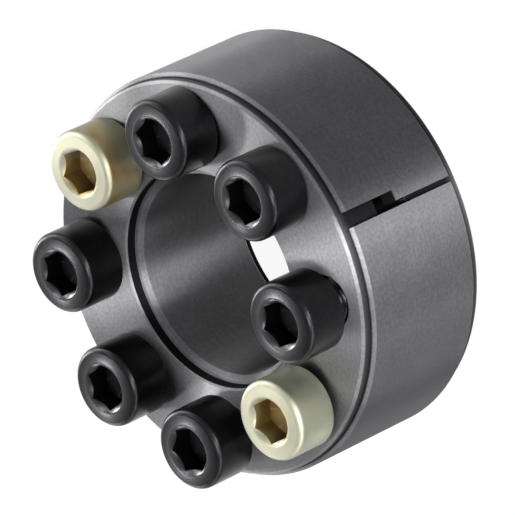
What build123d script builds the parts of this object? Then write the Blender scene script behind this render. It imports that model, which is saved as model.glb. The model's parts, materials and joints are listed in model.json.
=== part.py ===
from build123d import *
import math
import os

# Keyless locking assembly: two slit rings are wedged apart by two thrust rings, which screws draw together.
# Axis on Z, rear thrust face on z = 0, screw heads up, both slits facing -Y. Millimetres.

# Slit rings
bore_d = 25.0           # shaft
ring_width = 17.4       # length of both slit rings
inner_lip = 1.0         # wall of the inner ring at its ends
outer_lip = 0.5         # wall of the outer ring at its ends
cone_rise = 1.75        # how far each cone climbs from the end of its ring to the ridge
ridge_land = 1.0        # straight top of each ridge, at mid width
bore_chamfer = 0.5
rim_chamfer = 0.3

# Slits
outer_slit_w = 0.7
inner_slit_w = 1.0
slot_w = 2.0            # the outer slit is opened out to a slot from the front, flush on its -X side
slot_depth = 8.1

# Thrust rings
thrust_step = 1.3       # each thrust face stands this far proud of the slit rings
tip_gap = 4.8           # space between the thin ends of the two wedges
cone_gap = 0.05         # running clearance, square to the cones
land_gap = 0.1          # radial clearance at the straight lands
land_chamfer = 0.3
eye_chamfer = 0.2       # inner edge of each thrust face

# Screws
screw_count = 8         # an even number: two opposite ones are zinc plated
thread_d = 6.0
head_d = 10.0
head_h = 6.0
head_round = 0.5
seat_chamfer = 0.25
tip_chamfer = 0.8
tip_recess = 2.0        # the screw tips stay this far inside the rear thrust face
socket_af = 5.0
socket_depth = 3.0
socket_lead = 0.2       # countersink at the mouth of the key socket
drill_angle = 118.0
socket_turns = (3, 25, 50, 38, 10, 20, 42, 15)      # where each key socket came to rest, degrees
screw_lifts = (0, 0.3, 0.9, 1.4, 0.6, 2.2, 0, 0)    # some heads still stand off the thrust face

# Screw holes
ridge_gap = 0.75        # space between a screw and the ridges it passes
thread_gap = 0.05       # tapped holes, radial
clear_gap = 0.3         # clearance holes, radial
release_gap = 0.4       # release threads under the zinc plated screws, radial
hole_chamfer = 0.4

# Worked out
bore_r = bore_d / 2
shank_r = thread_d / 2
head_r = head_d / 2
middle = thrust_step + ring_width / 2
top = 2 * middle
rear_end = thrust_step
front_end = thrust_step + ring_width
slope = cone_rise / ((ring_width - ridge_land) / 2)
cone_gap_r = cone_gap * math.hypot(1, slope)        # the same clearance, measured along the radius
inner_ridge_r = bore_r + inner_lip + cone_rise
screw_circle_r = inner_ridge_r + ridge_gap + shank_r
outer_ridge_r = screw_circle_r + shank_r + ridge_gap
inner_mouth_r = inner_ridge_r - cone_rise
outer_mouth_r = outer_ridge_r + cone_rise
outer_r = outer_mouth_r + outer_lip
pitch_angle = 360 / screw_count


def turned(*outline):
    # Solid of revolution about Z, from its closed (radius, height) outline
    return revolve(Plane.XZ * make_face(Polyline(*outline, close=True)), Axis.Z)


def place(index, height):
    # Where a screw crosses the given height. The slits lie midway between two screws
    return Rot(0, 0, (index + 0.5) * pitch_angle) * Pos(screw_circle_r, 0, height)


def is_release(index):
    return index % (screw_count // 2) == 0


def slit(width, inside_r, outside_r, low, high, offset=0):
    cutter = Box(width, outside_r - inside_r, high - low)
    return Pos(offset, -(inside_r + outside_r) / 2, (low + high) / 2) * cutter


def outer_ring():
    ring = turned(
        (outer_mouth_r, rear_end),
        (outer_r - rim_chamfer, rear_end),
        (outer_r, rear_end + rim_chamfer),
        (outer_r, front_end - rim_chamfer),
        (outer_r - rim_chamfer, front_end),
        (outer_mouth_r, front_end),
        (outer_ridge_r, middle + ridge_land / 2),
        (outer_ridge_r, middle - ridge_land / 2),
    )
    inside_r = outer_ridge_r / 2
    outside_r = outer_r + outer_lip
    ring -= slit(outer_slit_w, inside_r, outside_r, 0, top)
    slot_offset = (slot_w - outer_slit_w) / 2
    return ring - slit(slot_w, inside_r, outside_r, front_end - slot_depth, top, slot_offset)


def inner_ring():
    ring = turned(
        (bore_r, rear_end + bore_chamfer),
        (bore_r + bore_chamfer, rear_end),
        (inner_mouth_r, rear_end),
        (inner_ridge_r, middle - ridge_land / 2),
        (inner_ridge_r, middle + ridge_land / 2),
        (inner_mouth_r, front_end),
        (bore_r + bore_chamfer, front_end),
        (bore_r, front_end - bore_chamfer),
    )
    return ring - slit(inner_slit_w, bore_r / 2, inner_ridge_r + inner_lip, 0, top)


def wedge():
    # Rear thrust ring without its holes: straight lands at the face, then cones that follow the slit rings
    outer_land_r = outer_mouth_r - land_gap
    inner_land_r = inner_mouth_r + land_gap
    cone_start = rear_end + (land_gap - cone_gap_r) / slope
    tip = middle - tip_gap / 2
    taper = slope * (tip - cone_start)
    return turned(
        (inner_land_r + eye_chamfer, 0),
        (outer_land_r - land_chamfer, 0),
        (outer_land_r, land_chamfer),
        (outer_land_r, cone_start),
        (outer_land_r - taper, tip),
        (inner_land_r + taper, tip),
        (inner_land_r, cone_start),
        (inner_land_r, eye_chamfer),
    )


def rear_thrust_ring():
    ring = wedge()
    tapped_r = shank_r + thread_gap
    for index in range(screw_count):
        ring -= place(index, middle / 2) * Cylinder(tapped_r, middle)
        countersink = Cone(tapped_r + hole_chamfer, tapped_r, hole_chamfer)
        ring -= place(index, hole_chamfer / 2) * countersink
    return ring


def front_thrust_ring():
    ring = mirror(wedge(), about=Plane.XY.offset(middle))
    for index in range(screw_count):
        gap = release_gap if is_release(index) else clear_gap
        ring -= place(index, (middle + top) / 2) * Cylinder(shank_r + gap, middle)
    return ring


def screw():
    # Socket head cap screw, the underside of its head on z = 0
    tip = tip_recess - top
    rim = RadiusArc((head_r, head_h - head_round), (head_r - head_round, head_h), -head_round)
    rest = Polyline(
        (head_r - head_round, head_h),
        (0, head_h),
        (0, tip),
        (shank_r - tip_chamfer, tip),
        (shank_r, tip + tip_chamfer),
        (shank_r, 0),
        (head_r - seat_chamfer, 0),
        (head_r, seat_chamfer),
        (head_r, head_h - head_round),
    )
    body = revolve(Plane.XZ * make_face(rim + rest), Axis.Z)
    floor = head_h - socket_depth
    corner_r = socket_af / 2 / math.cos(math.pi / 6)
    point = socket_af / 2 / math.tan(math.radians(drill_angle / 2))
    body -= Pos(0, 0, floor) * extrude(RegularPolygon(corner_r, 6), socket_depth)
    body -= Pos(0, 0, floor - point / 2) * Cone(0, socket_af / 2, point)
    mouth_r = corner_r + socket_lead
    lead_depth = mouth_r - socket_af / 2
    return body - Pos(0, 0, head_h - lead_depth / 2) * Cone(socket_af / 2, mouth_r, lead_depth)


def screw_nodes():
    nodes = {}
    blank = screw()
    counts = {"zinc": 0, "black": 0}
    for index in range(screw_count):
        finish = "zinc" if is_release(index) else "black"
        counts[finish] += 1
        turn = socket_turns[index % len(socket_turns)]
        lift = screw_lifts[index % len(screw_lifts)]
        nodes[f"{finish}_screw_{counts[finish]}"] = place(index, top + lift) * Rot(0, 0, turn) * blank
    return nodes


nodes = {
    "outer_ring": outer_ring(),
    "inner_ring": inner_ring(),
    "front_thrust_ring": front_thrust_ring(),
    "rear_thrust_ring": rear_thrust_ring(),
    **screw_nodes(),
}

os.makedirs("parts", exist_ok=True)
for name, solid in nodes.items():
    export_step(solid, f"parts/{name}.step")
print(f"outer diameter {2 * outer_r:.2f}, screw circle {2 * screw_circle_r:.2f}, total width {top:.2f}")
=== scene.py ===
# Taper locking assembly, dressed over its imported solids. Metres, standing on the rear thrust face.
import json
import math

import bmesh
import bpy
import numpy as np
from mathutils import Matrix, Vector


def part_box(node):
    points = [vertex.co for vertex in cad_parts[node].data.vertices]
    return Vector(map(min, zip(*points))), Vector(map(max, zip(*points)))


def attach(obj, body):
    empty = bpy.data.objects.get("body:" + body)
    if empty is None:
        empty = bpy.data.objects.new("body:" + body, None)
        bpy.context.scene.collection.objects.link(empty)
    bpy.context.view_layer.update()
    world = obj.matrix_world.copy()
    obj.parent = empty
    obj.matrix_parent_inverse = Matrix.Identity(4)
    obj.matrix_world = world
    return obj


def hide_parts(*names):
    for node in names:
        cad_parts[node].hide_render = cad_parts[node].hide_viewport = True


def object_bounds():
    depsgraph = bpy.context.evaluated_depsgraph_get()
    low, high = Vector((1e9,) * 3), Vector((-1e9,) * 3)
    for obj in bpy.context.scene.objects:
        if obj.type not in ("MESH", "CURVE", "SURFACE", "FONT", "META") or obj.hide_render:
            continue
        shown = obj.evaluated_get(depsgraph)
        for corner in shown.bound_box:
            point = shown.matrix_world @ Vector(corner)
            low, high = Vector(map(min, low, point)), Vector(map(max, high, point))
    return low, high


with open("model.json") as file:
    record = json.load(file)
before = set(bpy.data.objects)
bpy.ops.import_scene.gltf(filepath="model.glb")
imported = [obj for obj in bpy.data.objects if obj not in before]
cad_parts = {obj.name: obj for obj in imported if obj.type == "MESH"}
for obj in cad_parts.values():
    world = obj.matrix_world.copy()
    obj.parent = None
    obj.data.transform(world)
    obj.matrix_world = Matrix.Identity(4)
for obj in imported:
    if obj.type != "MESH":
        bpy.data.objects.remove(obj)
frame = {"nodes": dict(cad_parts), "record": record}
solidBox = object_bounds()
mm = 0.001
tau = 2 * math.pi
hair = 1e-9                     # heights closer than this count as one
print("frame loaded", len(frame["nodes"]), "nodes")


skinForm = {
    "arcSteps": 5,              # steps in each rounded corner
    "brink": 0.03,              # share of the way in from a cap's edge where the cap's painted shade is reached
    "weld": 0.0002,
    "sliver": 0.0001,
    "sharpDegrees": 32,
}


# Rounds the corners of a closed outline. A corner is radius, height, rounding and the value of the flat
# after it. It becomes two tangent points and the circle arc between them, turned evenly, and the arc is
# lightened a little: rubbed wear plus a painted highlight along the edge. The rows are radius, height and
# that value, which is 0 on blackened steel, 1 where the steel is ground or rubbed bright, and -1 for
# painted shade in gaps and recesses.
def roundedOutline(corners):
    rows = []
    share = np.linspace(0, 1, skinForm["arcSteps"] + 1)[:, None]
    for here in range(len(corners)):
        x, y, rounding, bareAndPaintedLightAfter = corners[here]
        bareAndPaintedLightBefore = corners[here - 1][3]
        corner = np.array([x, y], float)
        if rounding == 0:
            rows.append([[x, y, (bareAndPaintedLightBefore + bareAndPaintedLightAfter) / 2]])
            continue
        before = np.array(corners[here - 1][:2], float) - corner
        after = np.array(corners[(here + 1) % len(corners)][:2], float) - corner
        before, after = before / np.linalg.norm(before), after / np.linalg.norm(after)
        half = math.acos(np.clip(before @ after, -1, 1)) / 2
        middle = (before + after) / np.linalg.norm(before + after)
        centre = corner + middle * rounding / math.sin(half)
        first = corner + before * rounding / math.tan(half) - centre
        last = corner + after * rounding / math.tan(half) - centre
        spread = math.pi - 2 * half
        turned = first * np.sin((1 - share) * spread) + last * np.sin(share * spread)
        arc = centre + turned / math.sin(spread)
        rubAndHighlight = ringFinish["edgeRub"] * np.sin(share * math.pi)
        bare = bareAndPaintedLightBefore + (bareAndPaintedLightAfter - bareAndPaintedLightBefore) * share + rubAndHighlight
        rows.append(np.hstack([arc, np.clip(bare, -1, 1)]))
    return np.concatenate(rows) * (mm, mm, 1)


# Adds a point wherever a closed outline crosses one height.
def cutAtHeight(outline, height):
    after = np.roll(outline, -1, axis=0)
    crossing = np.flatnonzero((outline[:, 1] - height) * (after[:, 1] - height) < 0)
    share = (height - outline[crossing, 1]) / (after[crossing, 1] - outline[crossing, 1])
    new = outline[crossing] + share[:, None] * (after[crossing] - outline[crossing])
    return np.insert(outline, crossing + 1, new, axis=0)


# An outline carried round the axis: x = radius cos angle, y = radius sin angle. The angles are one row for
# all points, or a row for each point.
def carried(outline, angles):
    radius, height, bare = outline[:, :1], outline[:, 1:2], outline[:, 2:3]
    across, deep = radius * np.cos(angles), radius * np.sin(angles)
    return np.stack([across, deep, height + 0 * angles, bare + 0 * angles], -1)


# Angle at which a point of each radius meets the plane x = side, on the -Y half.
def angleAtSide(outline, side):
    return -np.arccos(side / outline[:, :1])


# A flat cap: each point of the edge is joined to the edge's own centre. Painted shade covers all but the
# brink.
def fan(edge):
    centre = edge.mean(0)
    brink = edge + (centre - edge) * skinForm["brink"]
    brink[:, 3] = centre[3] = -1
    return np.stack([edge, brink, np.broadcast_to(centre, edge.shape)])


# One mesh from grids of points, each with x, y, z and bareness. Each grid gives its quads, then equal
# points are merged, which closes the seams and poles, and the faces are turned outwards.
def skin(name, grids, sharpDegrees=skinForm["sharpDegrees"]):
    points, quads, start = [], [], 0
    for grid in grids:
        rows, columns = grid.shape[:2]
        index = start + np.arange(rows * columns).reshape(rows, columns)
        around = [index[:-1, :-1], index[:-1, 1:], index[1:, 1:], index[1:, :-1]]
        quads.append(np.stack(around, -1).reshape(-1, 4))
        points.append(grid.reshape(-1, 4))
        start += rows * columns
    points = np.concatenate(points)
    mesh = bpy.data.meshes.new(name)
    mesh.from_pydata(points[:, :3].tolist(), [], np.concatenate(quads).tolist())
    bareness = mesh.attributes.new("bare", "FLOAT", "POINT")
    bareness.data.foreach_set("value", points[:, 3].astype(np.float32))
    work = bmesh.new()
    work.from_mesh(mesh)
    bmesh.ops.remove_doubles(work, verts=work.verts, dist=skinForm["weld"] * mm)
    bmesh.ops.dissolve_degenerate(work, edges=work.edges, dist=skinForm["sliver"] * mm)
    bmesh.ops.recalc_face_normals(work, faces=work.faces)
    work.to_mesh(mesh)
    work.free()
    mesh.shade_smooth()
    mesh.set_sharp_from_angle(angle=math.radians(sharpDegrees))
    piece = bpy.data.objects.new(name, mesh)
    bpy.context.scene.collection.objects.link(piece)
    return piece


def dress(piece, body, nodeName, material):
    piece.data.materials.append(material)
    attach(piece, body)
    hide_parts(nodeName)
    print("made", piece.name, len(piece.data.polygons), "faces")


# A shader socket that can be added, multiplied and so on.
class Wire:
    def __init__(self, tree, socket=None):
        self.tree = tree
        self.socket = socket

    def node(self, kind, settings=None, inputs=None, output=0):
        made = self.tree.nodes.new(kind)
        for key, value in (settings or {}).items():
            if key == "stops":
                ramp = made.color_ramp.elements
                while len(ramp) < len(value):
                    ramp.new(0.5)
                for stop, (place, colour) in zip(ramp, value):
                    stop.position, stop.color = place, (*colour, 1)
            else:
                setattr(made, key, value)
        for key, value in (inputs or {}).items():
            if isinstance(value, Wire):
                self.tree.links.new(value.socket, made.inputs[key])
            else:
                made.inputs[key].default_value = value
        return Wire(self.tree, made.outputs[output])

    # another output of the same node
    def sibling(self, output):
        return Wire(self.tree, self.socket.node.outputs[output])

    def sum(self, operation, first, second=0.0):
        return self.node("ShaderNodeMath", {"operation": operation}, {0: first, 1: second})

    def tint(self, share, first, second, blend="MIX"):
        settings = {"data_type": "RGBA", "blend_type": blend}
        return self.node("ShaderNodeMix", settings, {0: share, 6: first, 7: second}, output=2)

    # 0 below low, 1 above high, smooth between
    def clear(self, low, high):
        settings = {"interpolation_type": "SMOOTHSTEP"}
        return self.node("ShaderNodeMapRange", settings, {0: self, 1: low, 2: high})


# The plain and the reflected form of one arithmetic sign.
def signPair(operation):
    def plain(self, other):
        return self.sum(operation, self, other)

    def reflected(self, other):
        return self.sum(operation, other, self)

    return plain, reflected


Wire.__add__, Wire.__radd__ = signPair("ADD")
Wire.__sub__, Wire.__rsub__ = signPair("SUBTRACT")
Wire.__mul__, Wire.__rmul__ = signPair("MULTIPLY")
Wire.__truediv__, Wire.__rtruediv__ = signPair("DIVIDE")
Wire.__pow__, Wire.__rpow__ = signPair("POWER")


def newMaterial(name):
    material = bpy.data.materials.new(name)
    material.use_nodes = True
    tree = material.node_tree
    return material, Wire(tree), tree.nodes["Principled BSDF"]


def feed(wires, shader, inputs):
    for key, value in inputs.items():
        if isinstance(value, Wire):
            wires.tree.links.new(value.socket, shader.inputs[key])
        else:
            shader.inputs[key].default_value = value


# Where a material reads its pattern, and the skin's bareness there, with its painted shade and painted
# highlights.
def patternPlace(wires):
    place = wires.node("ShaderNodeTexCoord", output=3)
    bare = wires.node("ShaderNodeAttribute", {"attribute_name": "bare"}, output=2)
    return place, bare


noiseDetail = {"grain": 3.0, "cloud": 2.0, "marks": 2.0}


def noise(wires, place, finish, kind):
    inputs = {"Vector": place, "Scale": finish[kind], "Detail": noiseDetail[kind]}
    return wires.node("ShaderNodeTexNoise", inputs=inputs)


# A surface normal tilted by a relief of some depth in millimetres.
def roughened(wires, strength, depth, relief):
    inputs = {"Strength": strength, "Distance": depth * mm, "Height": relief}
    return wires.node("ShaderNodeBump", inputs=inputs)


ringFinish = {
    "blackened": (0.095, 0.095, 0.100, 1),
    "ground": (0.215, 0.215, 0.224, 1),
    # near-black painted shade for gaps, recesses and cut faces
    "grime": (0.009, 0.009, 0.010, 1),
    "shade": 0.72,              # how dark the darkest specks are
    "speckRange": (0.35, 0.65),
    "grain": 2600.0,            # specks per metre
    "cloud": 160.0,             # cloudy patches per metre
    "turning": 5200.0,          # tool marks per metre of feed
    "grainShare": 0.55,
    "cloudShare": 0.25,
    "markShare": 0.2,
    "grainBump": 0.4,
    "markBump": 0.6,
    "markDepth": 0.0012,
    "bumpStrength": 0.35,
    "roughness": 0.52,
    "groundRoughness": 0.44,
    "glossSpread": 0.15,
    "brushing": 1.0,            # stretch of the gloss across the tool marks
    "brushTurn": 0.25,          # turns from the surface's own tangent
    "edgeRub": 0.45,            # how much lighter every rounded edge is: rubbed wear plus a painted highlight
}


# Blackened steel, lighter where ground or rubbed and lighter still on edges and chamfers as a painted
# highlight, near-black as painted shade in gaps and recesses. Tool marks run round the axis, so they follow
# radius plus height.
def ringMaterial():
    material, wires, shader = newMaterial("ring_steel")
    finish = ringFinish
    place, bare = patternPlace(wires)
    across = wires.node("ShaderNodeSeparateXYZ", inputs={0: place}, output=0)
    deep = across.sibling(1)
    height = across.sibling(2)
    radius = (across * across + deep * deep) ** 0.5
    grain = noise(wires, place, finish, "grain")
    cloud = noise(wires, place, finish, "cloud")
    bands = {"W": (radius + height) * finish["turning"], "Scale": 1.0, "Detail": noiseDetail["marks"]}
    marks = wires.node("ShaderNodeTexNoise", {"noise_dimensions": "1D"}, bands)
    tone = grain * finish["grainShare"] + cloud * finish["cloudShare"] + marks * finish["markShare"]
    # painted shade where the value is below 0, blackened steel at 0
    blackenedAndShade = wires.tint(bare + 1, finish["grime"], finish["blackened"])
    steel = wires.tint(bare, blackenedAndShade, finish["ground"])
    dull = wires.tint(1.0, steel, (finish["shade"],) * 3 + (1,), "MULTIPLY")
    relief = marks * finish["markBump"] + grain * finish["grainBump"]
    bump = roughened(wires, finish["bumpStrength"], finish["markDepth"], relief)
    gloss = finish["roughness"] + bare * (finish["groundRoughness"] - finish["roughness"])
    feed(wires, shader, {
        "Base Color": wires.tint(tone.clear(*finish["speckRange"]), dull, steel),
        "Metallic": 1.0,
        "Normal": bump,
        "Roughness": gloss + (tone - 0.5) * finish["glossSpread"],
        "Anisotropic": finish["brushing"],
        "Anisotropic Rotation": finish["brushTurn"],
    })
    return material


blackFinish = {
    "oxide": (0.007, 0.007, 0.008, 1),
    "worn": (0.055, 0.055, 0.058, 1),
    "grain": 1800.0,
    "cloud": 300.0,
    "wearShare": 0.93,          # wear goes by bareness, and a little by speckles
    "speckRange": (0.4, 0.65),
    "metallic": 0.9,
    "grainDepth": 0.001,
    "bumpStrength": 0.2,
    "roughness": 0.30,
    "wornRoughness": 0.21,
    "glossSpread": 0.15,
}


def blackMaterial():
    material, wires, shader = newMaterial("black_screw_steel")
    finish = blackFinish
    place, bare = patternPlace(wires)
    grain = noise(wires, place, finish, "grain")
    cloud = noise(wires, place, finish, "cloud")
    specks = (grain * 0.5 + cloud * 0.5).clear(*finish["speckRange"])
    wear = bare * finish["wearShare"] + specks * (1 - finish["wearShare"])
    gloss = finish["roughness"] + bare * (finish["wornRoughness"] - finish["roughness"])
    feed(wires, shader, {
        "Base Color": wires.tint(wear, finish["oxide"], finish["worn"]),
        "Metallic": finish["metallic"],
        "Normal": roughened(wires, finish["bumpStrength"], finish["grainDepth"], grain),
        "Roughness": gloss + (cloud - 0.5) * finish["glossSpread"],
    })
    return material


zincFinish = {
    # film colour by bareness: thick amber in the sockets, olive, sage, and cream where it is thin
    "film": [
        (0.0, (0.17, 0.115, 0.037)),
        (0.22, (0.22, 0.172, 0.09)),
        (0.75, (0.20, 0.215, 0.16)),
        (1.0, (0.33, 0.32, 0.24)),
    ],
    "unevenness": 2.8,
    "evenAbove": 1.15,          # bareness at which the film would be even
    "cloud": 170.0,
    "grain": 1500.0,
    "metallic": 0.85,
    "grainDepth": 0.001,
    "bumpStrength": 0.15,
    "roughness": 0.45,
    "glossSpread": 0.15,
}


# Yellow chromate, whose colour goes by the thickness of its film.
def zincMaterial():
    material, wires, shader = newMaterial("yellow_zinc")
    finish = zincFinish
    place, bare = patternPlace(wires)
    cloud = noise(wires, place, finish, "cloud")
    grain = noise(wires, place, finish, "grain")
    thin = bare + (cloud - 0.5) * (finish["evenAbove"] - bare) * finish["unevenness"]
    feed(wires, shader, {
        "Base Color": wires.node("ShaderNodeValToRGB", {"stops": finish["film"]}, {"Fac": thin}),
        "Metallic": finish["metallic"],
        "Normal": roughened(wires, finish["bumpStrength"], finish["grainDepth"], grain),
        "Roughness": finish["roughness"] + (grain - 0.5) * finish["glossSpread"],
    })
    return material


ringSteel, blackSteel, yellowZinc = ringMaterial(), blackMaterial(), zincMaterial()
print("finishes made")


ringForm = {
    "innerLip": 1.0,
    "outerLip": 0.5,
    "coneRise": 1.75,
    "ridgeLand": 1.0,
    "boreChamfer": 0.5,
    "rimChamfer": 0.3,
    "edge": 0.06,               # rounding left on every turned edge
    "wideEdge": 0.12,
    "outerSlit": 0.7,
    "innerSlit": 1.0,
    "boreBare": 0.1,            # the bore is honed, so part of its blacking is gone
    "lipBare": 0.5,             # the inner ring's front face
    "rimBare": 0.7,             # the outer ring's front chamfer, lighter as a painted highlight line along the rim
    "slotWidth": 2.0,
    "slotDepth": 8.1,
    "columns": 260,
    "slotColumns": 4,
    "ledgeColumns": 11,
}

outerLow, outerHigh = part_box("outer_ring")
rearEnd, frontEnd = outerLow.z / mm, outerHigh.z / mm
outerRadius = outerHigh.x / mm
boreRadius = next(m["dims"]["r_mm"] for m in frame["record"]["mounts"] if m["name"] == "shaft_bore")
middle = (rearEnd + frontEnd) / 2


# The outer slit ring: its outline carried round from the slot's right side to the slit's left side, then
# the part under the slot from the slit's right side, the slot's floor, and flat caps on the cut faces.
def outerRing():
    form = ringForm
    wall, edge, wideEdge, chamfer = outerRadius, form["edge"], form["wideEdge"], form["rimChamfer"]
    mouth = wall - form["outerLip"]
    ridge = mouth - form["coneRise"]
    land = form["ridgeLand"] / 2
    # The hidden cones are painted shade at -1, and the front chamfer is lighter as a painted highlight
    # line.
    outline = roundedOutline([
        (wall, rearEnd + chamfer, wideEdge, 0),
        (wall - chamfer, rearEnd, edge, 1),
        (mouth, rearEnd, 0, -1),
        (ridge, middle - land, edge, -1),
        (ridge, middle + land, edge, -1),
        (mouth, frontEnd, 0, 1),
        (wall - chamfer, frontEnd, edge, form["rimBare"]),
        (wall, frontEnd - chamfer, wideEdge, 0),
    ])
    floor = (frontEnd - form["slotDepth"]) * mm
    outline = cutAtHeight(outline, floor)
    marks = np.flatnonzero(np.abs(outline[:, 1] - floor) < hair)
    first = marks[np.argmax(outline[marks, 0])]
    outline = np.roll(outline, -first, axis=0)      # starts where the slot's floor meets the outer wall
    inside = np.flatnonzero(np.abs(outline[:, 1] - floor) < hair)[-1]
    closed = np.concatenate([outline, outline[:1]])
    lower, upper = closed[:inside + 1], closed[inside:]
    slitLeft, slitRight = -form["outerSlit"] / 2 * mm, form["outerSlit"] / 2 * mm
    slotRight = slitLeft + form["slotWidth"] * mm
    turn = np.linspace(0, 1, form["columns"])
    step = np.linspace(0, 1, form["slotColumns"] + 1)

    def between(line, fromSide, toSide, share, around=0.0):
        begin = angleAtSide(line, fromSide)
        return carried(line, begin + (angleAtSide(line, toSide) + around - begin) * share)

    def cap(line, side):
        return fan(between(line, side, side, np.zeros(1))[:, 0])

    ledge = np.linspace(lower[0], lower[-1], form["ledgeColumns"] + 1)
    # the slot's floor is painted shade, all but its two edges
    ledge[1:-1, 2] = -1
    return skin("outer_ring_skin", [
        between(closed, slotRight, slitLeft, turn, tau),
        between(lower, slitRight, slotRight, step),
        between(ledge, slitRight, slotRight, step),
        cap(closed, slitLeft),
        cap(np.concatenate([lower, ledge[::-1]]), slitRight),
        cap(np.concatenate([upper, ledge]), slotRight),
    ])


# The inner slit ring: its outline carried round from one side of a through slit to the other, with caps.
def innerRing():
    form = ringForm
    bore, edge, wideEdge, chamfer = boreRadius, form["edge"], form["wideEdge"], form["boreChamfer"]
    mouth = bore + form["innerLip"]
    ridge = mouth + form["coneRise"]
    land = form["ridgeLand"] / 2
    # The hidden cones are painted shade at -1.
    outline = roundedOutline([
        (bore, rearEnd + chamfer, wideEdge, 1),
        (bore + chamfer, rearEnd, edge, 1),
        (mouth, rearEnd, edge, -1),
        (ridge, middle - land, edge, -1),
        (ridge, middle + land, edge, -1),
        (mouth, frontEnd, edge, form["lipBare"]),
        (bore + chamfer, frontEnd, edge, form["lipBare"]),
        (bore, frontEnd - chamfer, wideEdge, form["boreBare"]),
    ])
    closed = np.concatenate([outline, outline[:1]])
    right = form["innerSlit"] / 2 * mm
    begin = angleAtSide(closed, right)
    end = angleAtSide(closed, -right) + tau
    body = carried(closed, begin + (end - begin) * np.linspace(0, 1, form["columns"]))
    return skin("inner_ring_skin", [body, fan(body[:, 0]), fan(body[:, -1])])


dress(outerRing(), "rear_set", "outer_ring", ringSteel)
dress(innerRing(), "rear_set", "inner_ring", ringSteel)

screwForm = {
    "headHeight": 6.0,
    "headRound": 0.8,
    "headDome": 0.15,           # how far the upset face falls towards its rim
    "seatChamfer": 0.25,
    "threadPitch": 1.0,
    "threadCrest": 2.95,
    "threadRoot": 2.42,
    "nutMinor": 2.56,
    "nutMajor": 3.02,
    "flankGap": 0.06,
    "flatShare": 0.12,          # share of the wave cut off at its crest, and at its root
    "runout": 0.8,              # pitches over which the thread fades out below the neck
    "tipChamfer": 0.8,
    "plainNeck": 1.2,
    "fillet": 0.15,             # under the head, through one middle point
    "filletOut": 0.05,
    "filletDown": 0.04,
    "socketFlats": 5.0,
    "socketDepth": 3.0,
    "socketLead": 0.2,
    "socketEdge": 0.02,
    "drillAngle": 118.0,
    "columns": 96,
    "rowsPerTurn": 8,
    "roundRows": 8,
    "faceRows": 5,
    "sharpDegrees": 40,
}

screwWear = {
    # black screws: bareness of thread, barrel, and top face at its rim and at its socket
    "thread": 0.25,
    "barrel": 0.0,
    "rim": 0.05,
    "lip": 1.0,
    "lipFalloff": 1.5,
    "socket": 0.3,              # share of the barrel's bareness at the socket's mouth
    # zinc screws: how clean each one's barrel is
    "zinc_screw_1": 0.25,
    "zinc_screw_2": 0.75,
}

# where a corner of each key socket came to rest, in degrees from the line to the axis
socketTurns = {
    "zinc_screw_1": 3, "black_screw_1": 25, "black_screw_2": 50, "black_screw_3": 38,
    "zinc_screw_2": 10, "black_screw_4": 20, "black_screw_5": 42, "black_screw_6": 15,
}
screwPlaces = {name: sum(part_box(name), Vector()) / 2 for name in socketTurns}
screwAngles = {name: math.atan2(place.y, place.x) for name, place in screwPlaces.items()}
holeCircle = screwPlaces["black_screw_1"].xy.length


# Thread depth as a triangle wave along height / pitch - angle / turn, clipped flat at crest and root. The
# screws and the tapped holes share one wave about each axis, so they stay in mesh at one pitch a turn.
def threadWave(angle, height):
    phase = height / (screwForm["threadPitch"] * mm) - angle / tau
    flat = screwForm["flatShare"]
    return (np.abs(2 * (phase % 1) - 1) - flat) / (1 - 2 * flat)


def ease(value):
    value = np.clip(value, 0, 1)
    return value * value * (3 - 2 * value)


thrustForm = {
    "landGap": 0.1,
    "coneGap": 0.05,
    "landChamfer": 0.3,
    "landClean": 0.5,           # painted shade covers the recessed land beyond this distance from the thrust face
    "eyeChamfer": 0.2,
    "deburr": 0.1,
    "edge": 0.06,
    "coneEdge": 0.2,
    "tipEdge": 0.1,
    "chamferBare": 0.9,         # the chamfers beside the ground face, outside and at the eye, lighter as a painted highlight line
    "eyeBare": 0.8,
    "sectorColumns": 28,
    "spokeColumns": 8,
    "patchRows": 7,
    "flatRun": 5.0,             # only the two flat rings have a level run longer than this
    "threadRows": 61,
    "plainRows": 3,
    "fadeRate": 8.0,            # a thread reaches full depth within 1 / rate of its hole's length
    "tappedRadius": 3.05,
    "countersink": 0.4,
    "clearRadius": 3.3,
    "releaseRadius": 3.4,
    "releaseMajor": 3.95,
    "releasePitch": 1.25,
}


# One flat ring with its screw holes, split into a sector for each hole. A patch runs from the hole's rim to
# the sector's edge along straight lines through the hole's centre.
def holedFace(inner, outer, height, centreAngle, holeRadius, bare):
    form = thrustForm
    half = math.pi / len(socketTurns)
    arc = centreAngle + np.linspace(-half, half, form["sectorColumns"] + 1)
    spoke = np.linspace(inner, outer, form["spokeColumns"] + 1)
    sides, last = len(arc), len(spoke) - 1
    radius = np.concatenate([np.full(sides, outer), spoke[-2:0:-1], np.full(sides, inner), spoke[1:]])
    angle = np.concatenate([arc, np.full(last - 1, arc[-1]), arc[::-1], np.full(last, arc[0])])
    rim = np.stack([radius * np.cos(angle), radius * np.sin(angle)], -1)
    centre = holeCircle * np.array([math.cos(centreAngle), math.sin(centreAngle)])
    outward = rim - centre
    outward = outward / np.linalg.norm(outward, axis=1)[:, None]
    share = np.linspace(0, 1, form["patchRows"])[:, None, None]
    flat = (centre + outward * holeRadius) * (1 - share) + rim * share
    level = np.broadcast_to((height, bare), flat.shape)
    return np.concatenate([flat, level], -1), np.arctan2(outward[:, 1], outward[:, 0]), centre


# A hole's wall: radius as a function of angle and height about the hole's own axis, painted shade by
# default.
def holeWall(centre, angle, radius, height, bare=-1.0):
    x = centre[0] + radius * np.cos(angle)
    y = centre[1] + radius * np.sin(angle)
    return np.stack([x, y, height + 0 * x, bare + 0 * x], -1)


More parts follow.
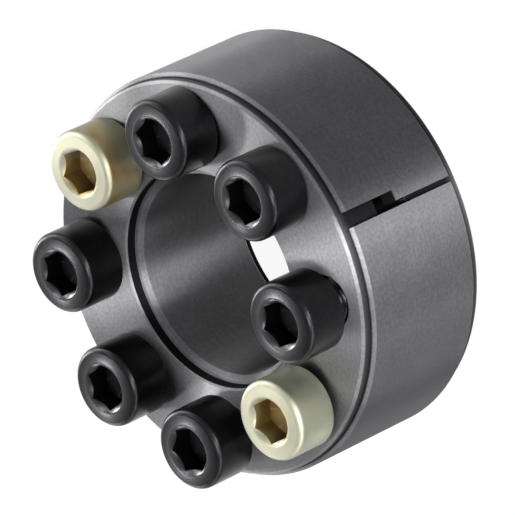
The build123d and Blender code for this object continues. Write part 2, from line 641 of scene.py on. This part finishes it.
# A thrust ring is a turned outline with its two flat rings left out, plus a sector of each for every screw
# hole and the hole's wall between them.
def thrustRing(nodeName, faceHeight, tipHeight):
    form = thrustForm
    into = 1 if tipHeight > faceHeight else -1          # from the thrust face towards the thin end
    slope = ringForm["coneRise"] / ((frontEnd - rearEnd - ringForm["ridgeLand"]) / 2)
    slackRadius = form["coneGap"] * math.hypot(1, slope)
    outerLand = outerRadius - ringForm["outerLip"] - form["landGap"]
    innerLand = boreRadius + ringForm["innerLip"] + form["landGap"]
    slitFace = rearEnd if into > 0 else frontEnd
    coneStart = slitFace + into * (form["landGap"] - slackRadius) / slope
    taper = slope * abs(tipHeight - coneStart)
    # The -1 flats, from the land's far part through the cones and the thin end, are painted shade.
    outline = roundedOutline([
        (innerLand + form["eyeChamfer"], faceHeight, form["edge"], 1),
        (outerLand - form["landChamfer"], faceHeight, form["edge"], form["chamferBare"]),
        (outerLand, faceHeight + into * form["landChamfer"], form["edge"], 0),
        (outerLand, faceHeight + into * form["landClean"], 0, -1),
        (outerLand, coneStart, form["coneEdge"], -1),
        (outerLand - taper, tipHeight, form["tipEdge"], -1),
        (innerLand + taper, tipHeight, form["tipEdge"], -1),
        (innerLand, coneStart, form["coneEdge"], -1),
        (innerLand, faceHeight + into * form["eyeChamfer"], form["edge"], form["eyeBare"]),
    ])
    closed = np.concatenate([outline, outline[:1]])
    radii = closed[:, 0]
    run, rise = np.abs(np.diff(closed[:, :2], axis=0)).T
    faceAt, tipAt = np.flatnonzero((run > form["flatRun"] * mm) & (rise < hair))
    columns = form["sectorColumns"] * len(socketTurns)
    begin = screwAngles["zinc_screw_1"] - math.pi / len(socketTurns)
    allRound = begin + np.linspace(0, tau, columns + 1)
    outside = closed[faceAt + 1:tipAt + 1]
    inside = np.concatenate([closed[tipAt + 1:], closed[1:faceAt + 1]])
    grids = [carried(outside, allRound), carried(inside, allRound)]
    tapped = nodeName == "rear_thrust_ring"
    faceLevel, tipLevel = faceHeight * mm, tipHeight * mm
    threadHeight = screwForm["threadCrest"] - screwForm["threadRoot"]
    nutRoot = screwForm["threadRoot"] + screwForm["flankGap"]
    for name, angleOfHole in screwAngles.items():
        release = name.startswith("zinc") and not tapped
        kind = "tappedRadius" if tapped else "releaseRadius" if release else "clearRadius"
        plain = form[kind] * mm
        mouth = plain + form["countersink" if tapped else "deburr"] * mm
        face, angle, centre = holedFace(radii[faceAt], radii[faceAt + 1], faceLevel, angleOfHole, mouth, 1)
        # the thin end's flat ring is painted shade
        tip, angleTip, centre = holedFace(radii[tipAt + 1], radii[tipAt], tipLevel, angleOfHole, plain, -1)
        depth = np.linspace(0, 1, form["threadRows" if tapped or release else "plainRows"])[:, None]
        start = faceLevel + into * (mouth - plain)
        height = start + (tipLevel - start) * depth
        fade = ease(np.minimum(depth, 1 - depth) * form["fadeRate"])
        if tapped:
            cut = nutRoot + threadHeight * threadWave(angle, height)
            cut = np.clip(cut, screwForm["nutMinor"], screwForm["nutMajor"]) * mm
        elif release:
            wave = np.abs(2 * ((height / (form["releasePitch"] * mm) - angle / tau) % 1) - 1)
            cut = plain + (form["releaseMajor"] * mm - plain) * wave
        else:
            cut = plain + 0 * angle
        # the far end takes the tip face's own directions, so that both rims meet
        blend = angle + (np.unwrap(angleTip) - np.unwrap(angle)) * depth
        grids += [face, tip, holeWall(centre, blend, plain * (1 - fade) + cut * fade, height)]
        grids.append(np.stack([face[0], holeWall(centre, angle, plain, start)]))
    return skin(nodeName + "_skin", grids)


rearLow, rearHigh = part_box("rear_thrust_ring")
frontLow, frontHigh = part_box("front_thrust_ring")
rearThrust = thrustRing("rear_thrust_ring", rearLow.z / mm, rearHigh.z / mm)
frontThrust = thrustRing("front_thrust_ring", frontHigh.z / mm, frontLow.z / mm)
dress(rearThrust, "rear_set", "rear_thrust_ring", ringSteel)
dress(frontThrust, "front_ring", "front_thrust_ring", ringSteel)


# A screw is one grid over angle and a walk along its outline, from the tip's centre up the thread, out
# under the head, over its rounded rim and conical face, down the six flats of the key socket and into the
# drill point: x = radius cos angle, y = radius sin angle about the screw's own axis.
def screwSkin(name):
    form = screwForm
    zinc = name.startswith("zinc")
    low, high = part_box(name)
    place = screwPlaces[name]
    headRadius = (high.x - low.x) / 2
    corner = screwAngles[name] + math.radians(socketTurns[name])
    local = np.linspace(0, tau, form["columns"] + 1)[None]
    angle = corner + local
    apothem = form["socketFlats"] / 2 * mm
    six = apothem / np.cos(local % (tau / 6) - tau / 12)        # the hexagon's radius at each angle
    top, tip = high.z, low.z
    seat = top - form["headHeight"] * mm
    crest, root = form["threadCrest"] * mm, form["threadRoot"] * mm
    pitch, tipChamfer = form["threadPitch"] * mm, form["tipChamfer"] * mm
    neckEnd = seat - form["plainNeck"] * mm
    height = np.linspace(tip, neckEnd, int((neckEnd - tip) / pitch * form["rowsPerTurn"]) + 1)[:, None]
    runout = ease((neckEnd - height) / (form["runout"] * pitch))
    cut = crest - (crest - root) * (1 - np.clip(threadWave(angle, height), 0, 1)) * runout
    thread = np.minimum(cut, crest - (1 - np.clip((height - tip) / tipChamfer, 0, 1)) * tipChamfer)
    lead = form["socketLead"] * mm
    mouth = apothem / math.cos(tau / 12) + lead
    headRound, seatChamfer = form["headRound"] * mm, form["seatChamfer"] * mm
    rim = np.linspace(0, tau / 4, form["roundRows"] + 1)[:, None]
    across = np.linspace(0, 1, form["faceRows"] + 1)[1:, None]
    dome = form["headDome"] * mm
    flatEdge = headRadius - headRound
    socketFloor = top - form["socketDepth"] * mm
    drillPoint = socketFloor - apothem / math.tan(math.radians(form["drillAngle"] / 2))
    fillet, filletOut, filletDown = form["fillet"] * mm, form["filletOut"] * mm, form["filletDown"] * mm
    socketEdge = form["socketEdge"] * mm
    wear = screwWear
    barrel = wear[name] if zinc else wear["barrel"]
    shank = barrel if zinc else wear["thread"]
    rimBare, lipBare = (1.0, 1.0) if zinc else (wear["rim"], wear["lip"])
    rounding = flatEdge + headRound * np.cos(rim)
    roundingTop = top - dome - headRound * (1 - np.sin(rim))
    face = flatEdge + (mouth + 2 * socketEdge - flatEdge) * across
    faceBare = rimBare + (lipBare - rimBare) * across ** wear["lipFalloff"]
    walk = [
        (0, tip, shank),
        (thread, height, shank),
        (crest, seat - fillet, shank),
        (crest + filletOut, seat - filletDown, barrel),
        (crest + fillet, seat, barrel),
        (headRadius - seatChamfer, seat, barrel),
        (headRadius, seat + seatChamfer, barrel),
        (headRadius, (seat + top) / 2, barrel),
        (headRadius, top - headRound - dome, barrel),
        (rounding, roundingTop, barrel + (rimBare - barrel) * np.sin(rim)),
        (face, top - dome * (1 - across), faceBare),
        (mouth - socketEdge, top - socketEdge, lipBare),
        (six, top - (mouth - six), barrel * wear["socket"]),
        (six, (top + socketFloor) / 2, 0),
        (six, socketFloor, 0),
        (apothem, socketFloor, 0),
        (apothem * 0.5, (socketFloor + drillPoint) / 2, 0),
        (0, drillPoint, 0),
    ]
    rows = [[value + 0 * (angle + step[0] + step[1]) for value in step] for step in walk]
    radius, height, bare = (np.concatenate(part) for part in zip(*rows))
    x, y = place.x + radius * np.cos(angle), place.y + radius * np.sin(angle)
    return skin(name + "_skin", [np.stack([x, y, height, bare], -1)], form["sharpDegrees"])


for name in socketTurns:
    if name.startswith("zinc"):
        dress(screwSkin(name), name, name, yellowZinc)
    else:
        dress(screwSkin(name), name, name, blackSteel)


stageForm = {
    "floorSize": 4.0,
    "floorColour": (0.86, 0.86, 0.86, 1),
    "floorRoughness": 0.9,
    "floorWhite": 0.9,          # how much of the floor is plain white to the camera and in reflections
    "skyColour": (0.9, 0.92, 1.0, 1),
    "skyLevel": 0.25,
    "lampDistance": 0.45,
}


# 1 for rays from the camera and for those reflected or let through, else 0.
def seenDirectly(wires):
    camera = wires.node("ShaderNodeLightPath", output="Is Camera Ray")
    rays = camera + camera.sibling("Is Glossy Ray") + camera.sibling("Is Transmission Ray")
    return wires.sum("MINIMUM", rays, 1.0)


def makeFloor():
    half = stageForm["floorSize"] / 2
    level = solidBox[0].z
    corners = [(-half, -half, level), (half, -half, level), (half, half, level), (-half, half, level)]
    mesh = bpy.data.meshes.new("floor")
    mesh.from_pydata(corners, [], [(0, 1, 2, 3)])
    floor = bpy.data.objects.new("floor", mesh)
    bpy.context.scene.collection.objects.link(floor)
    material, wires, shader = newMaterial("pale_floor")
    feed(wires, shader, {
        "Base Color": stageForm["floorColour"],
        "Roughness": stageForm["floorRoughness"],
        "Specular IOR Level": 0.0,
    })
    white = wires.node("ShaderNodeEmission", inputs={"Color": (1, 1, 1, 1), "Strength": 1.0})
    share = seenDirectly(wires) * stageForm["floorWhite"]
    plain = Wire(wires.tree, shader.outputs[0])
    mixed = wires.node("ShaderNodeMixShader", inputs={0: share, 1: plain, 2: white})
    wires.tree.links.new(mixed.socket, wires.tree.nodes["Material Output"].inputs[0])
    mesh.materials.append(material)


def makeSky():
    world = bpy.data.worlds.new("sky")
    bpy.context.scene.world = world
    world.use_nodes = True
    wires = Wire(world.node_tree)
    seen = seenDirectly(wires)
    background = world.node_tree.nodes["Background"]
    level = stageForm["skyLevel"]
    colour = wires.tint(seen, stageForm["skyColour"], (1, 1, 1, 1))
    feed(wires, background, {"Color": colour, "Strength": seen * (1 - level) + level})


lamps = {
    # azimuth and elevation in degrees about the assembly, size in metres, power in watts
    "right_wing": {"azimuth": 12, "elevation": 15, "size": (0.28, 0.16), "power": 0.7},
    "right_back_wing": {"azimuth": 34, "elevation": 15, "size": (0.16, 0.16), "power": 0.95},
    "back_wing": {"azimuth": 63, "elevation": 15, "size": (0.18, 0.16), "power": 1.5},
    "far_back_wing": {"azimuth": 118, "elevation": 15, "size": (0.16, 0.16), "power": 0.35},
    "left_back_wing": {"azimuth": 158, "elevation": 15, "size": (0.16, 0.16), "power": 0.2},
    "left_wing": {"azimuth": 194, "elevation": 15, "size": (0.26, 0.16), "power": 0.8},
    "left_front_wing": {"azimuth": 225, "elevation": 15, "size": (0.28, 0.16), "power": 1.1},
    "front_strip": {"azimuth": 264, "elevation": 15, "size": (0.12, 0.16), "power": 1.7},
    "high_right": {"azimuth": 17, "elevation": 46, "size": (0.12, 0.20), "power": 0.4},
    "high_front": {"azimuth": 247, "elevation": 44, "size": (0.14, 0.20), "power": 1.9},
    "high_rim_light": {"azimuth": 80, "elevation": 49, "size": (0.05, 0.05), "power": 0.3},
    "low_rim_light": {"azimuth": 102, "elevation": 30, "size": (0.04, 0.04), "power": 0.11},
}


def makeLamps():
    centre = (solidBox[0] + solidBox[1]) / 2
    for name, plan in lamps.items():
        azimuth, elevation = math.radians(plan["azimuth"]), math.radians(plan["elevation"])
        flat = math.cos(elevation)
        outward = Vector((math.cos(azimuth) * flat, math.sin(azimuth) * flat, math.sin(elevation)))
        data = bpy.data.lights.new(name, "AREA")
        data.shape, data.energy = "RECTANGLE", plan["power"]
        data.size, data.size_y = plan["size"]
        lamp = bpy.data.objects.new(name, data)
        lamp.location = centre + outward * stageForm["lampDistance"]
        lamp.rotation_euler = outward.to_track_quat("Z", "Y").to_euler()
        bpy.context.scene.collection.objects.link(lamp)


# The camera stands in front of the slits, well above the thrust face, and is rolled far over.
cameraForm = {
    "place": (0.02809, -0.59411, 0.52780),
    "right": (-0.39487, -0.61302, -0.68431),
    "up": (0.91804, -0.23431, -0.31985),
    "lens": 466.22,
    "sensor": 36.0,
    "near": 0.01,
    "far": 20,
}


def makeCamera():
    data = bpy.data.cameras.new("camera")
    data.lens, data.sensor_width = cameraForm["lens"], cameraForm["sensor"]
    data.clip_start, data.clip_end = cameraForm["near"], cameraForm["far"]
    camera = bpy.data.objects.new("camera", data)
    right = Vector(cameraForm["right"]).normalized()
    back = right.cross(Vector(cameraForm["up"])).normalized()
    up = back.cross(right)
    turn = Matrix((right, up, back)).transposed().to_4x4()
    camera.matrix_world = Matrix.Translation(cameraForm["place"]) @ turn
    bpy.context.scene.collection.objects.link(camera)
    bpy.context.scene.camera = camera


makeFloor()
makeSky()
makeLamps()
makeCamera()
bpy.context.scene.view_settings.view_transform = "Standard"
print("stage set")
